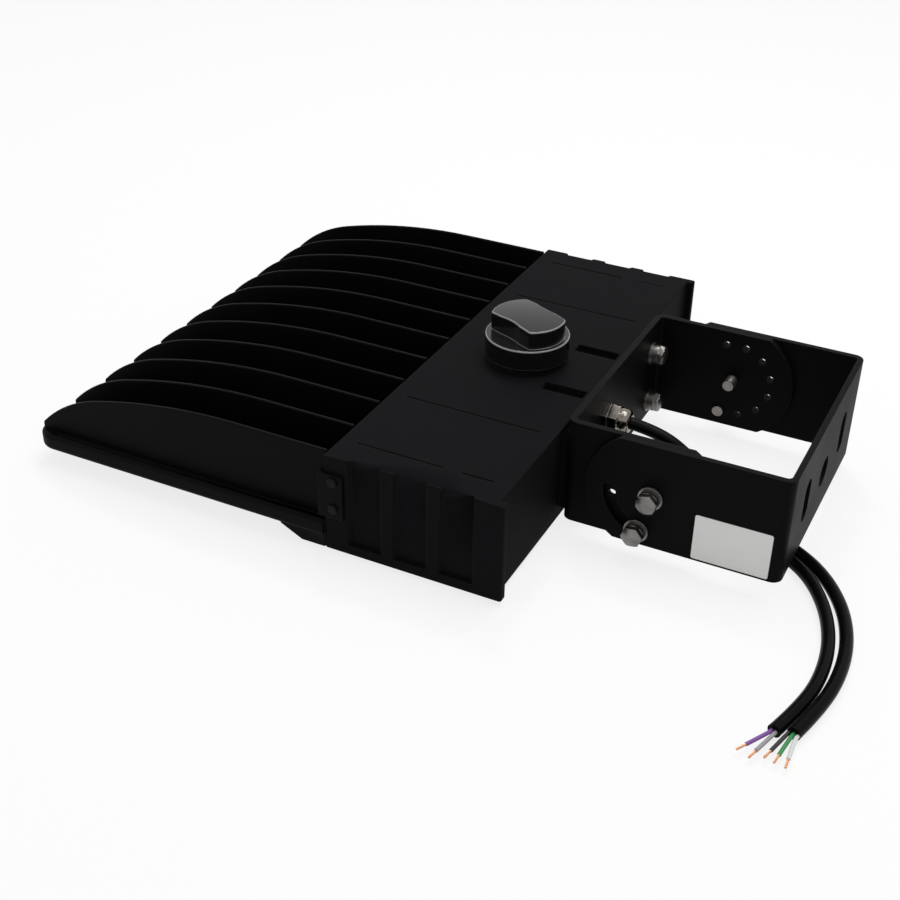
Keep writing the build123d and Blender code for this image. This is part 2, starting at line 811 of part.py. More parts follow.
def make_cap():
    on_floor = (Align.CENTER, Align.CENTER, Align.MIN)
    skirt = Cylinder(cap_skirt_r, cap_skirt_height, align=on_floor)
    skirt = fillet(skirt.faces().sort_by(Axis.Z)[-1].edges(), cap_edge_r)
    grip = extrude(grip_outline(cap_grip_r, cap_grip_width), cap_skirt_height + cap_grip_height)
    grip = fillet(grip.edges().filter_by(Axis.Z), cap_corner_r)
    crown_r = (cap_grip_r ** 2 + cap_crown ** 2) / (2 * cap_crown)
    grip &= Pos(0, 0, cap_skirt_height + cap_grip_height - crown_r) * Sphere(crown_r)
    grip = fillet(grip.faces().sort_by(Axis.Z)[-1].edges(), cap_edge_r)
    room = Cylinder(cap_skirt_r - cap_wall, cap_skirt_height - cap_wall, align=on_floor)
    hollow = extrude(grip_outline(cap_grip_r - cap_wall, cap_grip_width - 2 * cap_wall),
                     cap_skirt_height + cap_grip_height - cap_wall - cap_crown)
    cap = skirt + grip - room - hollow
    return Pos(cap_x, 0, cap_z0) * Rot(0, 0, cap_grip_turn) * cap


# Brackets: both are bent from plate, with arm ends round the pivot
def bent_u(half_width, x_web, x_open, bend):
    mid = (x_web + x_open) / 2
    length = abs(x_web - x_open)
    outer = block(mid - length / 2, mid + length / 2, -half_width, half_width, arm_z0, arm_z1)
    inner = block(mid - length / 2, mid + length / 2, plate - half_width, half_width - plate, arm_z0, arm_z1)
    pick = -1 if x_web > x_open else 0
    outer = fillet(outer.edges().filter_by(Axis.Z).group_by(Axis.X)[pick], bend)
    inner = fillet(inner.edges().filter_by(Axis.Z).group_by(Axis.X)[pick], bend - plate)
    return outer - Pos(-plate if x_web > x_open else plate, 0, 0) * inner


def arm_outline(x_web):
    bar = Pos((pivot_x + x_web) / 2, pivot_z) * Rectangle(abs(x_web - pivot_x), arm_height)
    end = Pos(pivot_x, pivot_z) * Circle(arm_end_r)
    outline = bar + (end & Pos(pivot_x, pivot_z) * Rectangle(2 * arm_end_r, arm_height))
    return extrude(Plane.XZ * outline, yoke_width, both=True)


def ring_place(angle):
    return pivot_x + ring_r * cos(radians(angle)), pivot_z + ring_r * sin(radians(angle))


def make_inner_bracket():
    bracket = bent_u(inner_y, pad_x, pivot_x + arm_end_r, bend_r) & arm_outline(pad_x)
    bracket -= rod_y(pivot_x, pivot_z, bolt_r + thread_gap, -yoke_y, yoke_y)
    bracket -= rod_y(*ring_place(lock_angle), bolt_r + thread_gap, -yoke_y, yoke_y)
    for angle in index_angles:
        bracket -= rod_y(*ring_place(angle), index_hole_r, -yoke_y, yoke_y)
    bracket -= rod_y(*ring_place(near_index_angle), index_hole_r, -yoke_y, 0)
    for y, z in bracket_bolt_places():
        bracket -= rod_x(y, z, bolt_hole_r, pad_x, bracket_x)
    for z in gland_z:
        bracket -= rod_x(gland_y, z, gland_hole_r, pad_x, bracket_x)
    return bracket


def make_yoke():
    yoke = bent_u(yoke_y, web_x1, pivot_x - arm_end_r, bend_r) & arm_outline(web_x1)
    yoke -= rod_y(pivot_x, pivot_z, bolt_hole_r, -yoke_y, yoke_y)
    slot_start = lock_angle - tilt_range - slot_spare
    arc = CenterArc((pivot_x, pivot_z), ring_r, slot_start, tilt_range + 2 * slot_spare)
    yoke -= extrude(Plane.XZ * SlotArc(arc, slot_width), yoke_width, both=True)
    for angle in index_angles:
        yoke -= rod_y(*ring_place(angle), index_hole_r, 0, yoke_y)
    yoke -= rod_x(0, pivot_z - mount_hole_drop, mount_hole_r, web_x1 - plate, web_x1)
    for side in both_sides:
        slot = SlotOverall(mount_slot_length, mount_slot_width, rotation=90)
        place = Pos(0, side * mount_slot_pitch / 2, pivot_z)
        yoke -= place * extrude(Plane.YZ * slot, web_x1)
    return yoke


def make_label():
    x1 = web_x1 - label_right
    middle = (x1 - label_length / 2, arm_z0 + label_rise + label_height / 2)
    sheet = Pos(*middle) * RectangleRounded(label_length, label_height, label_corner_r)
    return Pos(0, -yoke_y, 0) * extrude(Plane.XZ * sheet, label_thick)


# Bolts and washers, built along +Z from their seat and then turned outwards
def bolt(tail):
    head = hex_prism(bolt_head_flats, bolt_head_height)
    dome = bolt_head_flats
    head &= Pos(0, 0, bolt_head_height - dome) * Sphere(dome)
    return head + Pos(0, 0, -tail / 2) * Cylinder(bolt_r, tail)


def washer(outer_r, thick, slit):
    ring = Cylinder(outer_r, thick) - Cylinder(washer_hole_r, thick)
    ring = Pos(0, 0, thick / 2) * ring
    return ring - Pos(outer_r, 0, thick / 2) * Box(2 * outer_r, slit, thick) if slit else ring


def on_arm(x, z, side, lift):
    turn = Rot(90, 0, 0) if side < 0 else Rot(-90, 0, 0)
    return Pos(x, side * (yoke_y + washer_gap + lift), z) * turn


def on_bracket(y, z, lift):
    return Pos(bracket_x + lift, y, z) * Rot(0, 90, 0)


def arm_seats(places, lift):
    return [on_arm(x, z, side, lift) for side in both_sides for x, z in places]


pivot_place = (pivot_x, pivot_z)
lock_place = ring_place(lock_angle)
head_lift = flat_washer_thick + spring_washer_height
arm_bolt_grip = head_lift + washer_gap + plate + arm_gap + plate
bracket_tail = head_lift + plate + pad_reach + end_wall + bracket_bolt_tail
bracket_seats = [on_bracket(y, z, 0) for y, z in bracket_bolt_places()]


# Cable glands: body through bracket and wall, locknut inside, cap nut and seal outside
def make_gland_body(z):
    body = Pos(bracket_x, gland_y, z) * Rot(0, 90, 0) * hex_prism(gland_flats, gland_collar)
    body += rod_x(gland_y, z, gland_thread_r, gland_tail_x, gland_seat_x)
    return body - rod_x(gland_y, z, gland_bore_r, gland_tail_x, gland_seat_x)


def make_gland_nut(z):
    nut = Rot(0, 90, 0) * (Rot(0, 0, 30) * hex_prism(gland_flats, gland_nut_thick))
    nut = Pos(cavity_x1 - gland_nut_thick, gland_y, z) * nut
    return nut - rod_x(gland_y, z, gland_thread_r + thread_gap, cavity_x1 - gland_nut_thick, cavity_x1)


def make_gland_cap(z):
    x1 = gland_cap_x + gland_cap_length
    cap = hex_prism(gland_cap_flats, gland_cap_hex)
    dome = Cylinder(gland_cap_flats / 2, gland_cap_length, align=(Align.CENTER, Align.CENTER, Align.MIN))
    cap += fillet(dome.faces().sort_by(Axis.Z)[-1].edges(), gland_cap_flats / 4)
    cap = Pos(gland_cap_x, gland_y, z) * Rot(0, 90, 0) * cap
    cap -= rod_x(gland_y, z, gland_thread_r + thread_gap, gland_cap_x, x1 - gland_cap_nose)
    return cap - rod_x(gland_y, z, cable_d / 2 + cable_gap, gland_cap_x, x1)


def make_gland_seal(z):
    x1 = gland_cap_x + gland_cap_length - gland_cap_nose
    seal = rod_x(gland_y, z, gland_thread_r - gland_seal_gap, gland_seat_x, x1)
    return seal - rod_x(gland_y, z, cable_d / 2, gland_seat_x, x1)


# Cables: straight runs joined by the largest arcs that the runs allow
def corner_radii(points):
    radii = []
    for a, b, c in zip(points, points[1:], points[2:]):
        run_in = Vector(*b) - Vector(*a)
        run_out = Vector(*c) - Vector(*b)
        turn = radians(run_in.get_angle(run_out))
        radii.append(bend_share * min(run_in.length, run_out.length) / tan(turn / 2))
    return radii


def make_cable(points, name, diameter):
    radii = corner_radii(points)
    path = FilletPolyline(*points, radius=radii)
    start = Plane(origin=points[0], z_dir=path % 0)
    tube = sweep(start * Circle(diameter / 2), path)
    ideal = pi * diameter ** 2 / 4 * path.length
    print(name, "length", round(path.length, 1), "volume ratio", round(tube.volume / ideal, 4),
          "smallest radius", round(min(radii), 1))
    return tube


def make_core(points, lane, spread):
    end = Vector(*points[-1])
    ahead = (end - Vector(*points[-2])).normalized()
    across = Vector(-ahead.Y, ahead.X, 0)
    start = end + across * (lane * (2 * core_r + core_gap))
    knee = start + ahead * core_root
    aim = (ahead + across * spread).normalized()
    tip = knee + aim * (core_length - core_bare)
    core = extrude(Plane(origin=start, z_dir=ahead) * Circle(core_r), core_root)
    core += Pos(*knee) * Sphere(core_r)
    core += extrude(Plane(origin=knee, z_dir=aim) * Circle(core_r), core_length - core_bare)
    return core + extrude(Plane(origin=tip, z_dir=aim) * Circle(copper_r), core_bare)


save(make_heat_sink(), "heat_sink")
save(make_lens_frame(), "lens_frame")
for number, (x, y) in enumerate(module_places(), 1):
    save(make_lens(x, y), "lens_panel_" + str(number))
    save(make_board(x, y), "led_board_" + str(number))
save(make_lens_seals(), "lens_seals")
save(make_chips(), "led_chips")
frame_tip = bay_z1 - screw_tip_gap
save(group(small_screw(x, y, small_head_r, frame_tip) for x, y in frame_screw_places()), "frame_screws")

save(make_driver_housing(), "driver_housing")
save(make_cover(), "driver_cover")
save(make_cover_seal(), "cover_seal")
cover_tip = box_z0 + rim_thick
save(group(small_screw(x, y, screw_head_r, cover_tip) for x, y in cover_screw_places()), "cover_screws")
save(make_head_seal(), "head_seal")
save(make_lug_screws(), "lug_screws")
save(make_driver(), "led_driver")
save(make_driver_caps(), "driver_end_caps")
save(make_driver_screws(), "driver_screws")
save(hung_block(surge_size, surge_place), "surge_protector")
save(make_terminal_block(), "terminal_block")

save(make_receptacle(), "receptacle_body")
save(make_recept_seal(), "receptacle_seal")
save(make_recept_screws(), "receptacle_screws")
save(make_contacts(), "receptacle_contacts")
save(make_cap(), "twist_cap")
save(make_cap_base(), "cap_base")
save(make_cap_seal(), "cap_seal")
save(make_blades(), "cap_blades")

save(make_inner_bracket(), "inner_bracket")
save(make_yoke(), "yoke")
save(make_label(), "blank_label")
pivot_bolt = Rot(0, 0, pivot_bolt_turn) * bolt(arm_bolt_grip + pivot_bolt_tail)
lock_bolt = Rot(0, 0, lock_bolt_turn) * bolt(arm_bolt_grip + lock_bolt_tail)
save(group(seat * pivot_bolt for seat in arm_seats([pivot_place], head_lift)), "pivot_bolts")
save(group(seat * lock_bolt for seat in arm_seats([lock_place], head_lift)), "lock_bolts")
arm_places = [pivot_place, lock_place]
flat = washer(flat_washer_r, flat_washer_thick, 0)
spring = washer(spring_washer_r, spring_washer_height, spring_washer_slit)
save(group(seat * flat for seat in arm_seats(arm_places, 0)), "arm_flat_washers")
save(group(seat * spring for seat in arm_seats(arm_places, flat_washer_thick)), "arm_spring_washers")
bracket_bolts = [on_bracket(y, z, head_lift) * bolt(bracket_tail) for y, z in bracket_bolt_places()]
save(group(bracket_bolts), "bracket_bolts")
save(group(seat * flat for seat in bracket_seats), "bracket_flat_washers")
lifted_seats = [on_bracket(y, z, flat_washer_thick) for y, z in bracket_bolt_places()]
save(group(seat * spring for seat in lifted_seats), "bracket_spring_washers")

for name, z in zip(("power", "control"), gland_z):
    save(make_gland_body(z), name + "_gland_body")
    save(make_gland_nut(z), name + "_gland_locknut")
    save(make_gland_cap(z), name + "_gland_cap_nut")
    save(make_gland_seal(z), name + "_gland_seal")
save(make_cable(power_points, "power_cable", cable_d), "power_cable")
save(make_cable(control_points, "control_cable", cable_d), "control_cable")
for name, lane, spread in power_cores:
    save(make_core(power_points, lane, spread), name)
for name, lane, spread in control_cores:
    save(make_core(control_points, lane, spread), name)

save(make_cable(led_lead_points, "led_lead", lead_d), "led_lead")
save(make_cable(supply_lead_points, "supply_lead", lead_d), "supply_lead")
save(make_cable(control_lead_points, "control_lead", lead_d), "control_lead")
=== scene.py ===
# %% [markdown]
# # Dressing a yoke-mounted area light
# The light lies on its lens side: a black finned lamp head, a charcoal driver box with a twist-lock cap on
# its lid, a bolted bracket, a tilting yoke and two cables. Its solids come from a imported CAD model, so this
# lesson doesn't model the castings again. It gives them clean shading, finishes, cables and a studio.

# %% Load the frame
import json
import math

import bmesh
import bpy
from mathutils import Matrix, Vector


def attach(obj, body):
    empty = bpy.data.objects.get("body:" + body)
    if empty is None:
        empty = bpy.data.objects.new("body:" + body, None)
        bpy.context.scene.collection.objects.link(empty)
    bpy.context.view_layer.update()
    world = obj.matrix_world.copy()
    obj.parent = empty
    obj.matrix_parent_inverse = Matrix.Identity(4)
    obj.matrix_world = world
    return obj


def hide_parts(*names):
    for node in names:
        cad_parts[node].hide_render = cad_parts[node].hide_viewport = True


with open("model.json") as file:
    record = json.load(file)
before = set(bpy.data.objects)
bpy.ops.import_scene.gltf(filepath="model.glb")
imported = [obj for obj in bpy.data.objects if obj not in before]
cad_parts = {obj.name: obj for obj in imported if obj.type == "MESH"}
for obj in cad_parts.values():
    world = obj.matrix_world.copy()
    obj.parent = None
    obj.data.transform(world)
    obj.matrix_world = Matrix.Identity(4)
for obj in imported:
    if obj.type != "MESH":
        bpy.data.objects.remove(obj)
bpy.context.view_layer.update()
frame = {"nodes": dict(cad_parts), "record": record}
nodes = frame["nodes"]
body_of = {node: body for body, members in frame["record"]["behaviour"]["bodies"].items() for node in members}
slot_of = {part["node"]: part["material_slot"] for part in frame["record"]["subparts"]}
MM = 0.001

# %% [markdown]
# ## The camera
# A product photo is taken with a fairly long lens from above. A camera can be aimed with a Track To
# constraint, but the picture here also leans by about a degree, so the three axes of the camera are worked
# out from the line of sight and that roll, and set as a matrix.

# %% Place the camera
CAMERA_PLACE = Vector((0.3836, -0.8126, 0.5489))
SIGHT = Vector((-0.37326, 0.75994, -0.53213)).normalized()
ROLL = math.radians(0.984)


def new_object(name, data):
    thing = bpy.data.objects.new(name, data)
    bpy.context.collection.objects.link(thing)
    return thing


level_right = SIGHT.cross(Vector((0, 0, 1))).normalized()
level_up = level_right.cross(SIGHT)
right = level_right * math.cos(ROLL) + level_up * math.sin(ROLL)
up = level_up * math.cos(ROLL) - level_right * math.sin(ROLL)
camera_data = bpy.data.cameras.new("photo_camera")
camera_data.lens = 56.84
camera_data.sensor_width = 36.0
camera = new_object("photo_camera", camera_data)
camera.matrix_world = Matrix.Translation(CAMERA_PLACE) @ Matrix((right, up, -SIGHT)).transposed().to_4x4()
bpy.context.scene.camera = camera
print("camera", [round(value, 3) for value in CAMERA_PLACE], "lens", camera_data.lens)

# %% [markdown]
# ## Node helpers
# Finishes are procedural, so each one is a small tree of shader nodes. A tree could be built node by node in
# the editor, but in code a few helpers keep it short: one adds a node and fills or links its inputs, and
# four more give the steps that come up again and again, such as mixing two colours.

# %% Helpers for single nodes
def add(tree, kind, inputs=None, **options):
    node = tree.nodes.new(kind)
    for name, value in options.items():
        setattr(node, name, value)
    for name, value in (inputs or {}).items():
        if isinstance(value, bpy.types.NodeSocket):
            tree.links.new(value, node.inputs[name])
        else:
            node.inputs[name].default_value = value
    return node


def mix_colour(tree, factor, first, second):
    return add(tree, "ShaderNodeMix", {0: factor, 6: first, 7: second}, data_type="RGBA").outputs[2]


def spread(tree, value, low, high):
    return add(tree, "ShaderNodeMapRange", {"Value": value, "To Min": low, "To Max": high}).outputs[0]


def window(tree, value, start, full):
    return add(tree, "ShaderNodeMapRange", {"Value": value, "From Min": start, "From Max": full}).outputs[0]


def times(tree, first, second):
    return add(tree, "ShaderNodeMath", {0: first, 1: second}, operation="MULTIPLY").outputs[0]


print("node helpers ready")

# %% [markdown]
# ## Groups
# An effect that several finishes share is a node group: it is built once and placed in each material with
# its own values. In this version of Blender the named sockets of a group belong to its interface.

# %% Helpers for node groups
def start_group(name, inputs, outputs):
    tree = bpy.data.node_groups.new(name, "ShaderNodeTree")
    for socket_name, value in inputs.items():
        socket = tree.interface.new_socket(socket_name, in_out="INPUT", socket_type="NodeSocketFloat")
        socket.default_value = value
    for socket_name, kind in outputs.items():
        tree.interface.new_socket(socket_name, in_out="OUTPUT", socket_type=kind)
    return tree, tree.nodes.new("NodeGroupInput").outputs, tree.nodes.new("NodeGroupOutput").inputs


def use_group(tree, group, **inputs):
    node = tree.nodes.new("ShaderNodeGroup")
    node.node_tree = group
    for name, value in inputs.items():
        node.inputs[name].default_value = value
    return node.outputs


print("group helpers ready")

# %% [markdown]
# ## Grain
# Powder coat, moulded plastic and rubber all have a fine skin, and their colour is never quite even. One
# group gives both: a small noise as a height for bumps, and a large soft noise as a mottle. It reads Object
# coordinates, so the grain has a real size in millimetres and stays on the piece when it moves.

# %% Shared group: surface grain
MOTTLE_REACH = (-0.6, 1.6)
grain, given, result = start_group(
    "surface_grain", {"Grain": 900.0, "Mottle": 14.0},
    {"Height": "NodeSocketFloat", "Mottle": "NodeSocketFloat"},
)
place = add(grain, "ShaderNodeTexCoord").outputs["Object"]
fine = add(grain, "ShaderNodeTexNoise", {
    "Vector": place, "Scale": given["Grain"], "Detail": 3.0, "Roughness": 0.6})
broad = add(grain, "ShaderNodeTexNoise", {
    "Vector": place, "Scale": given["Mottle"], "Detail": 5.0, "Roughness": 0.62})
grain.links.new(fine.outputs["Fac"], result["Height"])
grain.links.new(spread(grain, broad.outputs["Fac"], *MOTTLE_REACH), result["Mottle"])
print("group", grain.name)

# %% [markdown]
# ## Soft edges
# No real edge is a knife edge: castings have small radii, and coat wears thin along them. Each edge could
# be bevelled in the mesh, but on many small CAD parts the Bevel shader node does it at render time. The
# group puts out a rounded normal, and a mask that is bright where that normal leaves the flat one. That
# mask lays pale edge wear, and on the cap and the bracket a painted edge highlight.

# %% Shared group: soft edges
EDGE_STARTS, EDGE_FULL = 0.995, 0.86
edges, given, result = start_group(
    "soft_edges", {"Radius": 0.0008}, {"Normal": "NodeSocketVector", "Edge": "NodeSocketFloat"}
)
rounded = add(edges, "ShaderNodeBevel", {"Radius": given["Radius"]}, samples=6).outputs[0]
flat = add(edges, "ShaderNodeNewGeometry").outputs["Normal"]
agree = add(edges, "ShaderNodeVectorMath", {0: rounded, 1: flat}, operation="DOT_PRODUCT").outputs["Value"]
edges.links.new(rounded, result["Normal"])
edges.links.new(window(edges, agree, EDGE_STARTS, EDGE_FULL), result["Edge"])
print("group", edges.name)

# %% [markdown]
# ## Dust
# A light that has been handled carries a trace of dust on the faces that look up. The group multiplies how
# far a face looks up by a patchy noise. It is used very faintly here, so that black faces aren't dead flat.

# %% Shared group: settled dust
LIES_FROM, LIES_FULL = 0.3, 1.0
PATCH_FROM, PATCH_FULL = 0.42, 0.72
dust, given, result = start_group("settled_dust", {"Patch": 60.0}, {"Mask": "NodeSocketFloat"})
normal = add(dust, "ShaderNodeNewGeometry").outputs["Normal"]
facing = add(dust, "ShaderNodeSeparateXYZ", {0: normal}).outputs["Z"]
place = add(dust, "ShaderNodeTexCoord").outputs["Object"]
patches = add(dust, "ShaderNodeTexNoise", {
    "Vector": place, "Scale": given["Patch"], "Detail": 6.0, "Roughness": 0.7})
lying = window(dust, facing, LIES_FROM, LIES_FULL)
thick = window(dust, patches.outputs["Fac"], PATCH_FROM, PATCH_FULL)
dust.links.new(times(dust, lying, thick), result["Mask"])
print("group", dust.name)

# %% [markdown]
# ## Coats and plastics
# Paint, moulded plastic and rubber differ only in colour, grain and gloss, so one recipe makes them all:
# a dark and a light tone mixed by the mottle, a paler tone on the edges, a trace of dust, and bumps from
# the grain on top of the rounded edges. The paler edge tone is wear on most coats, and on the cap and the
# bracket a painted highlight. What is the same all over, such as the specular level, is set on the shader
# itself.

# %% Recipe: coats and plastics
DUST_TONE = (0.16, 0.155, 0.15, 1)
COAT_ROUGH_SPAN = (-0.05, 0.07)
COAT_BUMP_DEPTH = 0.0004


def new_material(name):
    material = bpy.data.materials.new(name)
    material.use_nodes = True
    return material, material.node_tree, material.node_tree.nodes["Principled BSDF"]


def vary_roughness(tree, shader, value, rough, span):
    tree.links.new(spread(tree, value, rough + span[0], rough + span[1]), shader.inputs["Roughness"])


def raise_bumps(tree, shader, **inputs):
    bumps = add(tree, "ShaderNodeBump", inputs)
    tree.links.new(bumps.outputs[0], shader.inputs["Normal"])


def coat(name, dark, light, edge_wear_and_highlight, rough, specular, grain_scale=900.0, bump=0.05, radius=0.0008, dusty=0.006):
    material, tree, shader = new_material(name)
    skin = use_group(tree, grain, Grain=grain_scale)
    soft = use_group(tree, edges, Radius=radius)
    tone = mix_colour(tree, skin["Mottle"], (*dark, 1), (*light, 1))
    # Pale edge tone: wear on most coats, a painted highlight on the cap and the bracket.
    tone = mix_colour(tree, times(tree, soft["Edge"], skin["Mottle"]), tone, (*edge_wear_and_highlight, 1))
    film = times(tree, use_group(tree, dust)["Mask"], dusty)
    tree.links.new(mix_colour(tree, film, tone, DUST_TONE), shader.inputs["Base Color"])
    vary_roughness(tree, shader, skin["Mottle"], rough, COAT_ROUGH_SPAN)
    raise_bumps(tree, shader, Height=skin["Height"], Normal=soft["Normal"], Strength=bump,
                Distance=COAT_BUMP_DEPTH)
    shader.inputs["Specular IOR Level"].default_value = specular
    return material


print("coat recipe ready")

# %% [markdown]
# The head and the bracket are black powder coat, the box is a little paler and coarser, and the rest are the
# small parts. Black paint in a bright studio is far darker than it seems, so its tones are a few thousandths.

# %% Mix the coats
def grey(level, blue=1.0):
    return (level, level, level * blue)


COATS = {
    "head_coat": dict(dark=grey(0.0022), light=grey(0.0034), edge_wear_and_highlight=grey(0.012), rough=0.5, specular=0.042),
    "box_coat": dict(dark=grey(0.006, 1.15), light=grey(0.0082, 1.15), edge_wear_and_highlight=grey(0.016), rough=0.66,
                     specular=0.02, grain_scale=700.0, bump=0.12, radius=0.002),
    # The bracket's pale edge tone is a painted highlight on its arrises.
    "bracket_coat": dict(dark=grey(0.0034), light=grey(0.0046), edge_wear_and_highlight=grey(0.05), rough=0.5, specular=0.035,
                         radius=0.0006),
    "seal": dict(dark=grey(0.004), light=grey(0.007), edge_wear_and_highlight=grey(0.01), rough=0.75, specular=0.08,
                 radius=0.0003),
    "driver_plastic": dict(dark=grey(0.03), light=grey(0.045), edge_wear_and_highlight=grey(0.08), rough=0.5, specular=0.4),
    "terminal_plastic": dict(dark=grey(0.6, 0.93), light=grey(0.7, 0.95), edge_wear_and_highlight=grey(0.75, 0.96), rough=0.45,
                             specular=0.4),
    "receptacle_plastic": dict(dark=grey(0.004), light=grey(0.007), edge_wear_and_highlight=grey(0.015), rough=0.4, specular=0.15),
    "screw_coat": dict(dark=grey(0.0035), light=grey(0.006), edge_wear_and_highlight=grey(0.02), rough=0.4, specular=0.08,
                       radius=0.0005),
}
finishes = {name: coat(name, **look) for name, look in COATS.items()}
print("coats", sorted(finishes))

# %% [markdown]
# ## The twist-lock cap
# The cap is glossy moulded plastic, and its rims carry a painted highlight: a pale tone stands in for the
# light that its edges catch. The rounded rims are real fillets, so the soft-edge mask, which looks for sharp
# edges, passes them by. A fillet between a flat top and an upright side is where the normal looks partly up,
# so the painted highlight is masked by that instead.

# %% Finish of the cap
SIDE_ENDS, RIM_STARTS = 0.1, 0.4
TOP_STARTS, RIM_ENDS = 0.975, 0.9
# Painted highlight: the pale tone the cap's rims take in place of the light they catch.
RIM_HIGHLIGHT_TONE = (0.27, 0.268, 0.272, 1)


# Painted highlight mask: rims whose normal looks partly up, between the upright side and the flat top.
def painted_rim_highlight(tree):
    normal = add(tree, "ShaderNodeNewGeometry").outputs["Normal"]
    upward = add(tree, "ShaderNodeSeparateXYZ", {0: normal}).outputs["Z"]
    off_side = window(tree, upward, SIDE_ENDS, RIM_STARTS)
    off_top = window(tree, upward, TOP_STARTS, RIM_ENDS)
    return times(tree, off_side, off_top)


def glossy_cap():
    # The cap's pale edge tone is a painted highlight.
    material = coat("cap_shell", dark=grey(0.006, 1.05), light=grey(0.012, 1.05), edge_wear_and_highlight=grey(0.4), rough=0.13,
                    specular=0.36, grain_scale=260.0, bump=0.03, radius=0.0012)
    tree = material.node_tree
    colour = tree.nodes["Principled BSDF"].inputs["Base Color"]
    # Lays the painted rim highlight over the coat's tone.
    rims = mix_colour(tree, painted_rim_highlight(tree), colour.links[0].from_socket, RIM_HIGHLIGHT_TONE)
    tree.links.new(rims, colour)
    return material


finishes["cap_shell"] = glossy_cap()
print("cap finished, finishes now", len(finishes))

# %% [markdown]
# ## Bare metals
# Bolts and washers are stainless steel, the cable glands are nickel-plated brass, and the contacts are plain
# brass. Bare metal takes its look from its reflections, so the recipe varies the roughness more than the
# colour and adds fine scratches as a stretched noise.

# %% Recipe: bare metals
METAL_ROUGH_SPAN = (-0.08, 0.14)
SCRATCH_BUMP, SCRATCH_DEPTH = 0.06, 0.0002


def metal(name, dark, light, rough, scratch=(300.0, 300.0, 3000.0), radius=0.0004):
    material, tree, shader = new_material(name)
    skin = use_group(tree, grain, Grain=1500.0, Mottle=120.0)
    soft = use_group(tree, edges, Radius=radius)
    place = add(tree, "ShaderNodeTexCoord").outputs["Object"]
    stretched = add(tree, "ShaderNodeMapping", {"Vector": place, "Scale": scratch}).outputs[0]
    lines = add(tree, "ShaderNodeTexNoise", {"Vector": stretched, "Scale": 1.0, "Detail": 4.0}).outputs["Fac"]
    tree.links.new(mix_colour(tree, skin["Mottle"], (*dark, 1), (*light, 1)), shader.inputs["Base Color"])
    vary_roughness(tree, shader, lines, rough, METAL_ROUGH_SPAN)
    raise_bumps(tree, shader, Height=lines, Normal=soft["Normal"], Strength=SCRATCH_BUMP,
                Distance=SCRATCH_DEPTH)
    shader.inputs["Metallic"].default_value = 1.0
    return material


METALS = {
    "stainless": dict(dark=(0.13, 0.122, 0.116), light=(0.24, 0.228, 0.22), rough=0.32),
    "nickel": dict(dark=(0.11, 0.1, 0.086), light=(0.3, 0.278, 0.245), rough=0.14),
    "contact": dict(dark=(0.55, 0.38, 0.14), light=(0.78, 0.6, 0.28), rough=0.28),
    "driver_case": dict(dark=grey(0.5, 1.04), light=grey(0.68, 1.03), rough=0.38,
                        scratch=(40.0, 4000.0, 4000.0)),
    "copper": dict(dark=(0.62, 0.3, 0.16), light=(0.85, 0.46, 0.28), rough=0.3),
}
finishes.update({name: metal(name, **look) for name, look in METALS.items()})
print("metals added, finishes now", len(finishes))

# %% [markdown]
# ## The light-emitting side
# Under the head are clear moulded lens panels, white boards with printed tracks, and yellow LED chips. The
# lens is a clear plastic with a plain transmission. The tracks are a Brick pattern in a slightly greyer
# white, and the chips are phosphor with a speckle. The plain white label on the arm is made here too.

# %% Finishes of the light-emitting side
LENS_ROUGH = (0.04, 0.1)
BOARD_ROUGH = (0.3, 0.42)


def clear_lens():
    material, tree, shader = new_material("lens")
    mottle = use_group(tree, grain, Grain=500.0, Mottle=30.0)["Mottle"]
    tree.links.new(mix_colour(tree, mottle, (0.9, 0.92, 0.93, 1), (0.97, 0.98, 0.98, 1)),
                   shader.inputs["Base Color"])
    tree.links.new(spread(tree, mottle, *LENS_ROUGH), shader.inputs["Roughness"])
    shader.inputs["Transmission Weight"].default_value = 0.85
    shader.inputs["IOR"].default_value = 1.49
    return material


def printed_board():
    material, tree, shader = new_material("board")
    place = add(tree, "ShaderNodeTexCoord").outputs["Object"]
    tracks = add(tree, "ShaderNodeTexBrick", {
        "Vector": place, "Color1": (0.82, 0.82, 0.8, 1), "Color2": (0.86, 0.86, 0.84, 1),
        "Mortar": (0.7, 0.7, 0.69, 1), "Scale": 50.0, "Mortar Size": 0.03})
    mottle = use_group(tree, grain, Grain=1200.0)["Mottle"]
    tree.links.new(tracks.outputs["Color"], shader.inputs["Base Color"])
    tree.links.new(spread(tree, mottle, *BOARD_ROUGH), shader.inputs["Roughness"])
    raise_bumps(tree, shader, Height=tracks.outputs["Fac"], Strength=0.2, Distance=0.0001)
    return material


finishes["lens"] = clear_lens()
finishes["board"] = printed_board()
finishes["chip"] = coat("chip", dark=(0.75, 0.52, 0.05), light=(0.9, 0.7, 0.12), edge_wear_and_highlight=(0.92, 0.8, 0.3),
                        rough=0.35, specular=0.5, dusty=0.0)
finishes["label"] = coat("label", dark=(0.8, 0.795, 0.78), light=(0.87, 0.865, 0.85), edge_wear_and_highlight=(0.6, 0.59, 0.57),
                         rough=0.4, specular=0.4, grain_scale=1600.0, bump=0.03, radius=0.0002, dusty=0.05)
print("finishes now", len(finishes))

# %% [markdown]
# ## The cables
# Two black leads leave the glands, drop to the floor under the yoke's web and curl round to the front. A
# cable could be a swept mesh, but a curve with a round bevel stays smooth and editable. It is one NURBS
# spline, drawn along a few control points, with its order and end settings made after the points are added.

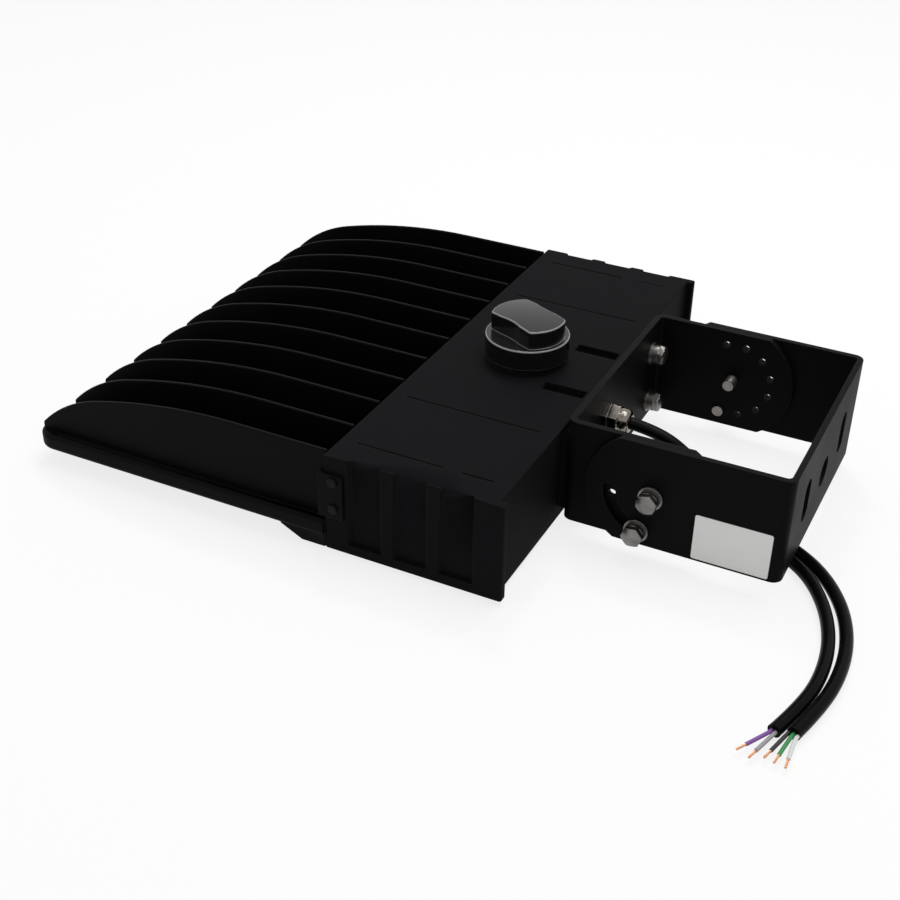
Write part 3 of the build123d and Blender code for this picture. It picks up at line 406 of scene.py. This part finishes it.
# %% Helpers: a cord, and a piece that stands for a CAD node
def lay_cord(name, route, diameter):
    curve = bpy.data.curves.new(name, "CURVE")
    curve.dimensions = "3D"
    curve.bevel_depth = diameter * MM / 2
    curve.bevel_resolution = 8
    curve.resolution_u = 16
    curve.use_fill_caps = True
    spline = curve.splines.new("NURBS")
    spline.points.add(len(route) - 1)
    for point, spot in zip(spline.points, route):
        point.co = (*(Vector(spot) * MM), 1)
    spline.order_u = 3
    spline.use_endpoint_u = True
    return new_object(name, curve)


def stand_for(piece, node):
    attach(piece, body_of[node])
    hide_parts(node)


print("cord helpers ready")

# %% Lay the cables
POWER_ROUTE = [
    (123, -24, 58), (150, -24, 58), (180, -25, 41), (212, -28, 14), (246, -33, 4.3), (276, -53, 4.3),
    (298, -85, 4.3), (309, -120, 4.3), (311, -155, 4.3), (306, -187, 4.3), (300, -208, 4.3),
]
CONTROL_ROUTE = [
    (123, -24, 36), (150, -24, 36), (181, -29, 20.5), (214, -38, 5.5), (245, -44, 4.3), (269.5, -61, 4.3),
    (288.5, -91, 4.3), (299.3, -125, 4.3), (301.6, -160, 4.3), (296.2, -190, 4.3), (289.6, -210.8, 4.3),
]
CABLE_D = 8.5
finishes["cable_jacket"] = coat("cable_jacket", dark=grey(0.0025), light=grey(0.004), edge_wear_and_highlight=grey(0.008),
                                rough=0.24, specular=0.05, grain_scale=500.0, bump=0.05, radius=0.0003)
cables = {}
for node, route in (("power_cable", POWER_ROUTE), ("control_cable", CONTROL_ROUTE)):
    cables[node] = lay_cord(node + "_jacket", route, CABLE_D)
    cables[node].data.materials.append(finishes["cable_jacket"])
    stand_for(cables[node], node)
print("cables", sorted(cables))

# %% [markdown]
# ## Stripped cores
# The cables end as an installer gets them: jacket cut back, coloured cores fanned a little, and a few
# millimetres of twisted copper bare. The copper could be one plain rod, but the strands show. They are
# circles that the spin operator turns and lifts at the same time, which makes screw-shaped tubes.

# %% Colours of the cores
CORE_TONES = {
    "core_black": (grey(0.012), grey(0.02)),
    "core_white": (grey(0.72, 0.97), grey(0.8, 0.97)),
    "core_green": ((0.03, 0.24, 0.06), (0.05, 0.33, 0.09)),
    "core_violet": ((0.2, 0.06, 0.32), (0.28, 0.1, 0.42)),
    "core_grey": (grey(0.3, 1.06), grey(0.4, 1.05)),
}
for slot, (dark, light) in CORE_TONES.items():
    finishes[slot] = coat(slot, dark, light, edge_wear_and_highlight=light, rough=0.35, specular=0.45, radius=0.0002)
print("core colours", len(CORE_TONES))

# %% Helper: twisted copper strands
CORE_R, CORE_GAP, CORE_ROOT, CORE_LENGTH, CORE_BARE = 1.2, 0.2, 3.0, 24.0, 7.0
STRANDS, STRAND_R, STRAND_RING, STRAND_SIDES = 7, 0.26, 0.52, 8
TWIST, TWIST_STEPS = math.radians(200), 12


def last_edges(spun):
    return [item for item in spun["geom_last"] if isinstance(item, bmesh.types.BMEdge)]


def twist_strands(bm):
    for index in range(STRANDS):
        ring = STRAND_RING if index else 0.0
        turn = Matrix.Rotation(math.tau / (STRANDS - 1) * index, 4, "Z")
        circle = bmesh.ops.create_circle(bm, segments=STRAND_SIDES, radius=STRAND_R * MM)["verts"]
        bmesh.ops.transform(bm, matrix=turn @ Matrix.Translation((ring * MM, 0, 0)), verts=circle)
        loop = list({edge for vert in circle for edge in vert.link_edges})
        spun = bmesh.ops.spin(bm, geom=circle + loop, cent=(0, 0, 0), axis=(0, 0, 1), steps=TWIST_STEPS,
                              angle=TWIST, dvec=(0, 0, CORE_BARE * MM / TWIST_STEPS))
        bmesh.ops.holes_fill(bm, edges=loop + last_edges(spun), sides=STRAND_SIDES)


print("strands in a core", STRANDS)

# %% [markdown]
# A core is then put together in one mesh: the strands are turned to where the core points, and the sleeve of
# insulation, a short cord, is made a mesh and joined to them. The strands take copper as a second material.

# %% Make the stripped cores
WIRE_SHARP = math.radians(40)


def mesh_from(bm, name):
    mesh = bpy.data.meshes.new(name)
    bm.to_mesh(mesh)
    bm.free()
    return mesh


def smooth_up_to(mesh, angle):
    mesh.shade_smooth()
    mesh.set_sharp_from_angle(angle=angle)


def make_core(node, route, lane, fan):
    end = Vector(route[-1])
    ahead = (end - Vector(route[-2])).normalized()
    across = Vector((-ahead.y, ahead.x, 0))
    start = end + across * lane * (2 * CORE_R + CORE_GAP)
    knee = start + ahead * CORE_ROOT
    aim = (ahead + across * fan).normalized()
    tip = knee + aim * (CORE_LENGTH - CORE_BARE)
    bm = bmesh.new()
    twist_strands(bm)
    turn = aim.to_track_quat("Z", "Y").to_matrix().to_4x4()
    bmesh.ops.transform(bm, matrix=Matrix.Translation(tip * MM) @ turn, verts=bm.verts)
    for face in bm.faces:
        face.material_index = 1
    sleeve = lay_cord(node + "_sleeve", [start - ahead, start, knee, tip], 2 * CORE_R)
    bm.from_mesh(bpy.data.meshes.new_from_object(sleeve))
    bpy.data.objects.remove(sleeve)
    bmesh.ops.recalc_face_normals(bm, faces=bm.faces)
    mesh = mesh_from(bm, node + "_wire")
    smooth_up_to(mesh, WIRE_SHARP)
    mesh.materials.append(finishes[slot_of[node]])
    mesh.materials.append(finishes["copper"])
    wire = new_object(node + "_wire", mesh)
    stand_for(wire, node)
    return wire


POWER_CORES = {
    "line_core": dict(lane=-1, fan=0.02),
    "ground_core": dict(lane=0, fan=0.16),
    "neutral_core": dict(lane=1, fan=0.34),
}
CONTROL_CORES = {
    "control_core_plus": dict(lane=-0.5, fan=-0.22),
    "control_core_minus": dict(lane=0.5, fan=0.02),
}
power_wires = [make_core(node, POWER_ROUTE, **lie) for node, lie in POWER_CORES.items()]
control_wires = [make_core(node, CONTROL_ROUTE, **lie) for node, lie in CONTROL_CORES.items()]
print("cores", len(power_wires) + len(control_wires))

# %% [markdown]
# ## Inner leads
# Three thin leads join the glands, the terminal block, the driver and the LED boards inside the closed box.
# They are laid in the same way as the cables, with both ends in the light itself.

# %% Lay the inner leads
LEAD_D = 4.6
LEAD_ROUTES = {
    "led_lead": [(-77.5, 20, 16), (3, 20, 16), (8, -8, 18), (16, -36, 24), (32, -47, 29), (46, -42, 30),
                 (46, -20.5, 30)],
    "supply_lead": [(91, -24, 58), (84, -26, 58), (76, -50, 59), (80, -84, 60), (86, -108, 61), (85, -125, 61),
                    (72, -125, 61)],
    "control_lead": [(91, -24, 36), (84, -25, 35), (76, -36, 32), (66, -39, 31), (58, -34, 30),
                     (58, -20.5, 30)],
}
for node, route in LEAD_ROUTES.items():
    lead = lay_cord(node + "_jacket", route, LEAD_D)
    lead.data.materials.append(finishes[slot_of[node]])
    stand_for(lead, node)
print("inner leads", sorted(LEAD_ROUTES))

# %% [markdown]
# ## Threads
# The M8 pivot bolts stick out inside the arms, where their thread shows. In CAD the shank is a plain
# cylinder. A full thread could be cut with a Screw modifier, but a ridge is enough at this size: a small
# triangle is spun round the bolt and moved along it by one pitch a turn, and its two ends are closed.

# %% Helper: thread ridges on the bolt tips
PIVOT_X, PIVOT_Z, SHANK_R = 170, 49, 4.0
PITCH, THREAD_START, THREAD_END, THREAD_STEPS = 1.25, 72.2, 81.0, 20
RIDGE_ROOT, RIDGE_CREST, RIDGE_HALF = -0.15, 0.28, 0.42 * PITCH


def add_threads(bm):
    length = THREAD_END - THREAD_START
    turns = length / PITCH
    steps = round(turns * THREAD_STEPS)
    for side in (-1, 1):
        rows = ((RIDGE_ROOT, -RIDGE_HALF), (RIDGE_CREST, 0.0), (RIDGE_ROOT, RIDGE_HALF))
        verts = [bm.verts.new(Vector((PIVOT_X + SHANK_R + out, side * (THREAD_START + along), PIVOT_Z)) * MM)
                 for out, along in rows]
        ridge = [bm.edges.new(pair) for pair in zip(verts, verts[1:] + verts[:1])]
        spun = bmesh.ops.spin(bm, geom=verts + ridge, cent=(PIVOT_X * MM, 0, PIVOT_Z * MM), axis=(0, side, 0),
                              steps=steps, angle=turns * math.tau, dvec=(0, side * length * MM / steps, 0))
        bmesh.ops.holes_fill(bm, edges=ridge + last_edges(spun), sides=len(rows))
    bmesh.ops.recalc_face_normals(bm, faces=bm.faces)


details = {"pivot_bolts": add_threads}
print("threaded nodes", sorted(details))

# %% [markdown]
# ## Recesses in the lid
# Two narrow recesses beside the cap look almost black, as their floors lie in shade. That shade is painted:
# the floors could be pieces of their own, but they are only two faces of the box, so these take a darker
# coat as a second material.

# %% Helper: painted shade on the floors of the recesses
RECESS_FLOOR_Z, FLOOR_SLACK, LEVEL = 71.0, 0.1, 0.99
# Painted shade: a near-black coat for the floors of the recesses.
finishes["painted_recess_shade"] = coat("painted_recess_shade", dark=grey(0.0012), light=grey(0.0018), edge_wear_and_highlight=grey(0.003),
                               rough=0.7, specular=0.005, grain_scale=700.0, bump=0.12, dusty=0.0)


# Gives the recess floors the second material, the painted shade.
def paint_recess_shade(bm):
    bm.normal_update()
    floors = [face for face in bm.faces if face.normal.z > LEVEL
              and abs(face.calc_center_median().z - RECESS_FLOOR_Z * MM) < FLOOR_SLACK * MM]
    for face in floors:
        face.material_index = 1
    print("recess floors", len(floors))


details["driver_housing"] = paint_recess_shade
second_finish = {"driver_housing": "painted_recess_shade"}
print("nodes with details", sorted(details))

# %% [markdown]
# ## Dressing the solids
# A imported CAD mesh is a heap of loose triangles, so each would be shaded flat and a round boss would show
# its facets. A copy is merged, triangles in one plane are dissolved into one face, and the rest is shaded
# smooth up to a limit angle. Weighted normals then keep the large flat faces flat where they run into a
# small radius, because a whole lid weighs more than a thin strip of fillet.

# %% Dress every remaining solid
MERGE_DISTANCE = 1e-6
SHARP = math.radians(32)
FLAT = math.radians(0.4)


def dress(node, detail=None):
    bm = bmesh.new()
    bm.from_mesh(nodes[node].data)
    bmesh.ops.remove_doubles(bm, verts=bm.verts, dist=MERGE_DISTANCE)
    bmesh.ops.dissolve_limit(bm, angle_limit=FLAT, verts=bm.verts, edges=bm.edges)
    if detail:
        detail(bm)
    mesh = mesh_from(bm, node + "_dressed")
    smooth_up_to(mesh, SHARP)
    mesh.materials.append(finishes[slot_of[node]])
    if node in second_finish:
        mesh.materials.append(finishes[second_finish[node]])
    piece = new_object(node + "_dressed", mesh)
    piece.modifiers.new("flat faces stay flat", "WEIGHTED_NORMAL").keep_sharp = True
    stand_for(piece, node)
    return piece


dressed = [dress(node, details.get(node)) for node in nodes if not nodes[node].hide_render]
print("dressed", len(dressed), "solids with", sum(len(piece.data.polygons) for piece in dressed), "faces")

# %% [markdown]
# ## The white sweep
# The light is shown on white. For the camera and for reflections the floor is mostly white by itself, which
# keeps the background clean, and the rest is plain paper that still takes a soft shadow. More lamp light
# could whiten the floor as well, but it would wash out the black coat.

# %% Floor
WHITE = (1, 1, 1, 1)
FLOOR_REACH, FLOOR_DROP, FLOOR_GLOW = 12.0, 0.0005, 0.8


def seen_directly(tree):
    path = add(tree, "ShaderNodeLightPath").outputs
    seen = path["Is Camera Ray"]
    for kind in ("Is Glossy Ray", "Is Transmission Ray"):
        seen = add(tree, "ShaderNodeMath", {0: seen, 1: path[kind]}, operation="MAXIMUM").outputs[0]
    return seen


bm = bmesh.new()
bmesh.ops.create_grid(bm, x_segments=1, y_segments=1, size=FLOOR_REACH)
bmesh.ops.translate(bm, verts=bm.verts, vec=(0, 0, -FLOOR_DROP))
floor = new_object("studio_floor", mesh_from(bm, "studio_floor"))
paper, tree, shader = new_material("studio_paper")
shader.inputs["Base Color"].default_value = WHITE
shader.inputs["Roughness"].default_value = 0.9
shader.inputs["Specular IOR Level"].default_value = 0.0
glow = add(tree, "ShaderNodeEmission", {"Color": WHITE, "Strength": 1.0}).outputs[0]
share = times(tree, seen_directly(tree), FLOOR_GLOW)
surface = add(tree, "ShaderNodeMixShader", {0: share, 1: shader.outputs[0], 2: glow}).outputs[0]
tree.links.new(surface, tree.nodes["Material Output"].inputs["Surface"])
floor.data.materials.append(paper)
print("floor", FLOOR_REACH, "m from its middle")

# %% [markdown]
# ## Light
# A dim world fills the sides, and is white where it is seen directly. A large lamp above gives the soft tops
# of the lid and the fins, and a small one high at the back puts bright rims on the cap and along the cables.
# On the cap the rims are lightened further by a painted highlight in its finish.

# %% World and lamps
FILL = 0.45
world = bpy.data.worlds.new("studio_world")
bpy.context.scene.world = world
world.use_nodes = True
tree = world.node_tree
ambient = tree.nodes["Background"]
ambient.inputs["Color"].default_value = WHITE
ambient.inputs["Strength"].default_value = FILL
white = add(tree, "ShaderNodeBackground", {"Color": WHITE, "Strength": 1.0}).outputs[0]
backdrop = add(tree, "ShaderNodeMixShader", {0: seen_directly(tree), 1: ambient.outputs[0], 2: white})
tree.links.new(backdrop.outputs[0], tree.nodes["World Output"].inputs["Surface"])


def soft_lamp(name, spot, aim, size, power):
    lamp = bpy.data.lights.new(name, "AREA")
    lamp.shape = "SQUARE"
    lamp.size = size
    lamp.energy = power
    holder = new_object(name, lamp)
    holder.location = spot
    holder.rotation_euler = (Vector(aim) - Vector(spot)).to_track_quat("-Z", "Y").to_euler()


soft_lamp("top_lamp", spot=(0.35, 0.25, 1.9), aim=(0.0, 0.0, 0.05), size=1.2, power=17.0)
soft_lamp("back_lamp", spot=(-0.35, 0.8, 1.78), aim=(0.04, 0.0, 0.1), size=0.3, power=6.0)
bpy.context.scene.view_settings.view_transform = "Standard"
print("studio ready")
